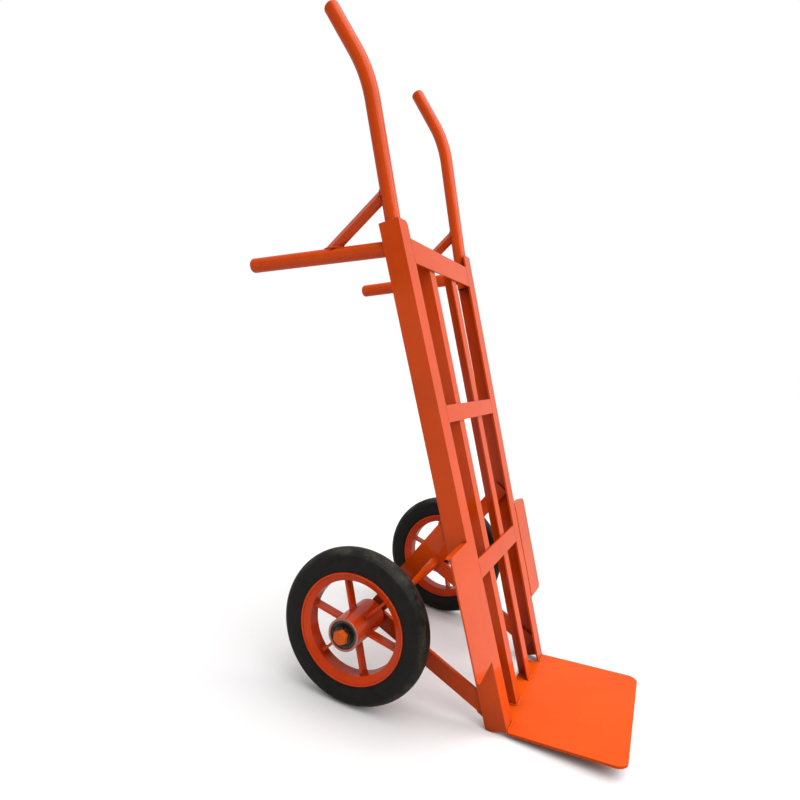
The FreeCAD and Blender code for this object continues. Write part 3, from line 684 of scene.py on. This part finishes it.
def guard_welds(beads):
    """The left wheel guard in front, both guards behind, and the carriers on rails and axle."""
    for side, sign in SIDES.items():
        if side == "left":
            levels = (GUARD_BOTTOM + 0.002, GUARD_TOP - 0.002)
            seam = [rail_point(sign, -CLEAR, -FLUSH, u) for u in levels]
            beads.run(seam, GUARD_FRONT_BEAD, LOWERED, FRONT)
            middle = (GUARD_BOTTOM + GUARD_TOP) / 2
            for u in (GUARD_BOTTOM + 0.010, middle + 0.010, GUARD_TOP - 0.012):
                beads.tack(rail_point(sign, 0.0, FLUSH, u), UP_RAIL, GUARD_TACK, FRONT)
        levels = (GUARD_BOTTOM + 0.004, GUARD_TOP - 0.006)
        behind = [rail_point(sign, -PROUD, GUARD_THICKNESS + PROUD, u) for u in levels]
        beads.run(behind, GUARD_BACK_BEAD)
        for level in (STRUT_LEVEL, BRACE_LEVEL):
            carrier_welds(beads, sign, level)


def carrier_welds(beads, sign, level):
    """A carrier's two edges inside the rail, and an arc on each of its faces at the axle."""
    foot = rail_point(sign, RAIL_WALL, RAIL_DEPTH / 2, level)
    hub = Vector((foot.x, AXLE.y, AXLE.z))
    along = (hub - foot).normalized()
    across = along.cross(ACROSS).normalized()
    sine = max(abs(along.dot(rail_back(sign))), CARRIER_LEAST_SINE)
    reach = (RAIL_DEPTH / 2) / sine
    for edge in (-1, 1):
        start = foot + across * edge * CARRIER_HALF
        beads.run([start, start + along * (reach - 0.002)], CARRIER_BEAD)
    middle = carrier_x(sign) - sign * (CARRIER_THICKNESS / 2)
    for face in (-1, 1):
        x = middle + face * (CARRIER_THICKNESS / 2 + FLUSH)
        center = Vector((x, AXLE.y, AXLE.z))
        arc = arc_points(center, -along, across, AXLE_RADIUS + CLEAR, *CARRIER_AXLE_ARC)
        beads.run(arc, AXLE_BEAD)


def toe_welds(beads):
    """The toe plate along the rails and the inner bars' feet."""
    tilt = Matrix.Translation(BASE) @ Matrix.Rotation(-TOE_TILT, 4, "X")
    above = 0.0003
    foot_half = 0.0155
    for side, sign in SIDES.items():
        seam_ends = (BASE_HALF - 0.002, BASE_HALF - RAIL_FLANGE + 0.001)
        seam = [tilt @ Vector((sign * x, -0.0008, CLEAR)) for x in seam_ends]
        beads.run(seam, TOE_RAIL_BEAD)
        center = sign * INNER_CENTERS[side]
        front = [tilt @ Vector((center + x, 0.0036, above)) for x in (-foot_half, foot_half)]
        beads.run(front, TOE_INNER_BEAD)
        web_x = center + sign * (INNER_HALF + CLEAR)
        web = [tilt @ Vector((web_x, y, above)) for y in (0.004, 0.028)]
        beads.run(web, TOE_INNER_BEAD)


def wheel_welds(beads, side, sign):
    """Both sides of each spoke, at the hub and at the rim."""
    spoke_edges = (SPOKE_MIDDLE - SPOKE_HALF_WIDTH, SPOKE_MIDDLE + SPOKE_HALF_WIDTH)
    for i in range(SPOKE_COUNT):
        angle = SPOKE_ANGLES[side] + i * math.pi / 3
        for radius in (HUB_RADIUS + CLEAR, SPOKE_OUTER - PROUD):
            offset = (SPOKE_HALF_THICKNESS + PROUD) / radius
            for edge in (-1, 1):
                turn = angle + edge * offset
                run = [wheel_point(sign, turn, radius, along) for along in spoke_edges]
                beads.run(run, SPOKE_BEAD)


FRAME_SEED = 11
TOE_SEED = 12
FIRST_WHEEL_SEED = 20

frame_beads = Beads(FRAME_SEED)
ladder_welds(frame_beads)
tube_welds(frame_beads)
guard_welds(frame_beads)
frame_beads.finish("frame_weld_beads", "frame", FRAME_PAINT)
toe_beads = Beads(TOE_SEED)
toe_welds(toe_beads)
toe_beads.finish("toe_plate_weld_beads", "frame", TOE_PAINT_WITH_PAINTED_LIGHT)
for number, (side, sign) in enumerate(SIDES.items()):
    wheel_beads = Beads(FIRST_WHEEL_SEED + number)
    wheel_welds(wheel_beads, side, sign)
    wheel_beads.finish("wheel_weld_beads_" + side, "wheel_" + side, WHEEL_PAINT)

# ---------------------------------------------------------------- turned pieces


def turned(name, outline, segments, side, sign, material):
    """A closed outline of (distance outward, radius) spun about the axle, at the wheel's middle."""
    mesh = bmesh.new()
    rings = []
    for i in range(segments):
        angle = 2 * math.pi * i / segments
        ring = []
        for along, radius in outline:
            spot = (sign * along, radius * math.cos(angle), radius * math.sin(angle))
            ring.append(mesh.verts.new(spot))
        rings.append(ring)
    count = len(outline)
    for i in range(segments):
        a, b = rings[i], rings[(i + 1) % segments]
        for k in range(count):
            n = (k + 1) % count
            mesh.faces.new((a[k], a[n], b[n], b[k]))
    bmesh.ops.recalc_face_normals(mesh, faces=mesh.faces)
    data = bpy.data.meshes.new(name)
    mesh.to_mesh(data)
    mesh.free()
    piece = add_piece(name, data, "wheel_" + side, material)
    piece.location = AXLE + Vector((sign * WHEEL_OFFSET, 0, 0))
    return piece


# Tyre: a foot between the rim's flanges, walls that bulge, and a round crown.
TYRE_HALF = 0.0234
TYRE_WIDEST = 0.0235
TYRE_SEAT_HALF = 0.0175
TYRE_FOOT_HALF = 0.0136
TYRE_FOOT_RADIUS = 0.0982
TYRE_LIP_RADIUS = 0.1070
TYRE_SHOULDER_RADIUS = 0.1325
TYRE_CROWN_RADIUS = 0.1499
TYRE_SEGMENTS = 240
WALL_STEPS = 12
WALL_RINGS = (3, 9)
WALL_RING_HEIGHT = 0.0004
CROWN_STEPS = 40
CROWN_LINES = (8, 32)
CROWN_LINE_DEPTH = 0.0007

# Rolled edge of the rim's sheet.
LIP_HALF = 0.0199
LIP_RADIUS = 0.1046
LIP_BEAD = 0.0024
LIP_CORNERS = 12
LIP_SEGMENTS = 180

# Steel rings on the hub's two ends, as (distance outward from that end, radius).
FACE_RING = ((-0.0006, 0.0272), (-0.0006, 0.0301), (0.0002, 0.0300),
             (0.0004, 0.0297), (0.0004, 0.0277), (0.0002, 0.0273))
BACK_RING = ((0.0006, 0.0262), (0.0006, 0.0304), (-0.0002, 0.0303),
             (-0.0004, 0.0299), (-0.0004, 0.0268), (-0.0002, 0.0262))
HUB_RING_SEGMENTS = 96

# Moulded ribs of the outer seal: their radii, and a section as (outward, from that radius).
SEAL_SETBACK = 0.0020
SEAL_RIBS = (0.0158, 0.0178, 0.0202)
RIB_SECTION = ((-0.0010, -0.0006), (-0.0003, -0.0005), (-0.0001, 0.0),
               (-0.0003, 0.0005), (-0.0010, 0.0006))
RIB_SEGMENTS = 72


def tyre_outline():
    """Foot, bulged walls with moulded rings, and a round crown with a fine line at each side."""
    wall = []
    for i in range(WALL_STEPS + 1):
        t = i / WALL_STEPS
        radius = TYRE_LIP_RADIUS + (TYRE_SHOULDER_RADIUS - TYRE_LIP_RADIUS) * t
        bulge = math.sin(math.pi * min(t * 0.72 + 0.06, 1.0)) ** 0.5
        half = TYRE_SEAT_HALF + (TYRE_HALF - TYRE_SEAT_HALF) * bulge
        if i in WALL_RINGS:
            half += WALL_RING_HEIGHT
        wall.append((min(half, TYRE_WIDEST), radius))
    shoulder_half = wall[-1][0]
    crown_height = TYRE_CROWN_RADIUS - TYRE_SHOULDER_RADIUS
    crown = []
    for i in range(CROWN_STEPS + 1):
        t = -1 + 2 * i / CROWN_STEPS
        half = shoulder_half * math.sin(t * math.pi / 2)
        radius = TYRE_SHOULDER_RADIUS + crown_height * math.cos(t * math.pi / 2)
        if i in CROWN_LINES:
            radius -= CROWN_LINE_DEPTH
        crown.append((half, radius))
    left = [(-half, radius) for half, radius in wall]
    right = list(reversed(wall))
    foot = [(TYRE_FOOT_HALF, TYRE_FOOT_RADIUS), (-TYRE_FOOT_HALF, TYRE_FOOT_RADIUS)]
    return left + crown[1:-1] + right + foot


def lip_outline(face):
    """Round bead along one edge of the rim; face is 1 outward, -1 towards the frame."""
    lip = []
    for k in range(LIP_CORNERS):
        turn = 2 * math.pi * k / LIP_CORNERS
        half = LIP_HALF + LIP_BEAD * math.cos(turn)
        lip.append((face * half, LIP_RADIUS + LIP_BEAD * math.sin(turn)))
    return lip


for side, sign in SIDES.items():
    tyre_piece = turned("tyre_" + side + "_moulded", tyre_outline(), TYRE_SEGMENTS,
                        side, sign, TYRE_RUBBER)
    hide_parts("tyre_" + side)

    end = HUB_END - WHEEL_OFFSET
    face_ring = [(end + out, radius) for out, radius in FACE_RING]
    turned("hub_face_ring_" + side, face_ring, HUB_RING_SEGMENTS,
           side, sign, RACE_STEEL)
    inner_end = HUB_INNER_END - WHEEL_OFFSET
    back_ring = [(inner_end + out, radius) for out, radius in BACK_RING]
    turned("hub_back_ring_" + side, back_ring, HUB_RING_SEGMENTS,
           side, sign, RACE_STEEL)

    for number, face in enumerate((1, -1), 1):
        turned("rim_rolled_lip_%d_%s" % (number, side), lip_outline(face), LIP_SEGMENTS,
               side, sign, WHEEL_PAINT)

    seal_face = end - SEAL_SETBACK
    for number, middle in enumerate(SEAL_RIBS, 1):
        rib = [(seal_face + out, middle + aside) for out, aside in RIB_SECTION]
        turned("seal_rib_%d_%s" % (number, side), rib, RIB_SEGMENTS,
               side, sign, SEAL_BLACK)

# ---------------------------------------------------------------- camera, floor and light

CAMERA_PLACE = (-1.23994, -0.38513, 0.70125)
VIEW_RIGHT = Vector((0.40553663, -0.9026328, 0.14420147))
VIEW_UP = Vector((0.03894508, 0.17467468, 0.9838557))
VIEW_BACK = Vector((-0.91324877, -0.39337359, 0.10599009))

camera_data = bpy.data.cameras.new("camera")
camera_data.sensor_width = 36.0
camera_data.lens = 27.206
camera = bpy.data.objects.new("camera", camera_data)
bpy.context.scene.collection.objects.link(camera)
camera_turn = Matrix((VIEW_RIGHT, VIEW_UP, VIEW_BACK)).transposed().to_4x4()
camera.matrix_world = Matrix.Translation(CAMERA_PLACE) @ camera_turn
bpy.context.scene.camera = camera

FLOOR_HALF = 60.0
FLOOR_DROP = 0.0003
FLOOR_TONES = ((0.93, 0.93, 0.93, 1), (0.96, 0.96, 0.96, 1))
FLOOR_BOUNCE = (0.42, 0.40, 0.38, 1)


def floor_material():
    """Pale where it's seen, darker for the light it throws back at the object."""
    shader = Shader("studio_floor")
    pale = shader.mix(shader.noise(scale=3.0, detail=3.0), *FLOOR_TONES)
    seen = shader.nodes.new("ShaderNodeLightPath").outputs["Is Camera Ray"]
    shader.color(shader.mix(seen, FLOOR_BOUNCE, pale))
    shader.roughness(shader.ramp(shader.noise(scale=8.0), 0.3, 0.7, 0.75, 0.9))
    shader.bump([(shader.noise(scale=60.0, detail=4.0), 0.05, 0.001)])
    return shader.material


floor_mesh = bpy.data.meshes.new("studio_floor")
corner_signs = ((-1, -1), (1, -1), (1, 1), (-1, 1))
floor_corners = [(x * FLOOR_HALF, y * FLOOR_HALF, 0) for x, y in corner_signs]
floor_mesh.from_pydata(floor_corners, [], [(0, 1, 2, 3)])
floor_mesh.materials.append(floor_material())
floor = bpy.data.objects.new("studio_floor", floor_mesh)
bpy.context.scene.collection.objects.link(floor)
floor.location.z = -FLOOR_DROP

# The world is white to the camera, even for diffuse light, and darker towards -X in mirrors.
CAMERA_STRENGTH = 1.0
DIFFUSE_STRENGTH = 0.50
MIRROR_SPAN = (-0.8, 0.9)
MIRROR_STRENGTHS = (0.12, 0.58)

world = bpy.data.worlds.new("studio")
bpy.context.scene.world = world
world.use_nodes = True
world_nodes = world.node_tree.nodes
background = world_nodes["Background"]
background.inputs["Color"].default_value = (1, 1, 1, 1)
light_path = world_nodes.new("ShaderNodeLightPath")
world_place = world_nodes.new("ShaderNodeTexCoord")
world_axes = world_nodes.new("ShaderNodeSeparateXYZ")
studio_side = world_nodes.new("ShaderNodeMapRange")
studio_side.inputs["From Min"].default_value = MIRROR_SPAN[0]
studio_side.inputs["From Max"].default_value = MIRROR_SPAN[1]
studio_side.inputs["To Min"].default_value = MIRROR_STRENGTHS[0]
studio_side.inputs["To Max"].default_value = MIRROR_STRENGTHS[1]
indirect = world_nodes.new("ShaderNodeMix")
indirect.inputs["A"].default_value = DIFFUSE_STRENGTH
strength = world_nodes.new("ShaderNodeMix")
strength.inputs["B"].default_value = CAMERA_STRENGTH
world_links = world.node_tree.links
world_links.new(world_place.outputs["Generated"], world_axes.inputs[0])
world_links.new(world_axes.outputs["X"], studio_side.inputs["Value"])
world_links.new(light_path.outputs["Is Glossy Ray"], indirect.inputs["Factor"])
world_links.new(studio_side.outputs["Result"], indirect.inputs["B"])
world_links.new(light_path.outputs["Is Camera Ray"], strength.inputs["Factor"])
world_links.new(indirect.outputs["Result"], strength.inputs["A"])
world_links.new(strength.outputs["Result"], background.inputs["Strength"])


def hang(name, data, place, target):
    """Put a light at a place, turned towards its target."""
    lamp = bpy.data.objects.new(name, data)
    bpy.context.scene.collection.objects.link(lamp)
    lamp.location = place
    toward = Vector(target) - Vector(place)
    lamp.rotation_euler = toward.to_track_quat("-Z", "Y").to_euler()


def sun(name, place, power, spread):
    data = bpy.data.lights.new(name, "SUN")
    data.energy = power
    data.angle = math.radians(spread)
    hang(name, data, place, (0, 0, 0))


def softbox(name, place, target, width, height, power):
    data = bpy.data.lights.new(name, "AREA")
    data.shape = "RECTANGLE"
    data.size = width
    data.size_y = height
    data.energy = power
    hang(name, data, place, target)


sun("key_sun", place=(-0.25, -1.6, 3.2), power=2.5, spread=75)
softbox("front_window", place=(1.5, -2.3, 1.8), target=(0, 0, 0.8),
        width=1.3, height=2.4, power=20)

bpy.context.scene.view_settings.view_transform = "Standard"
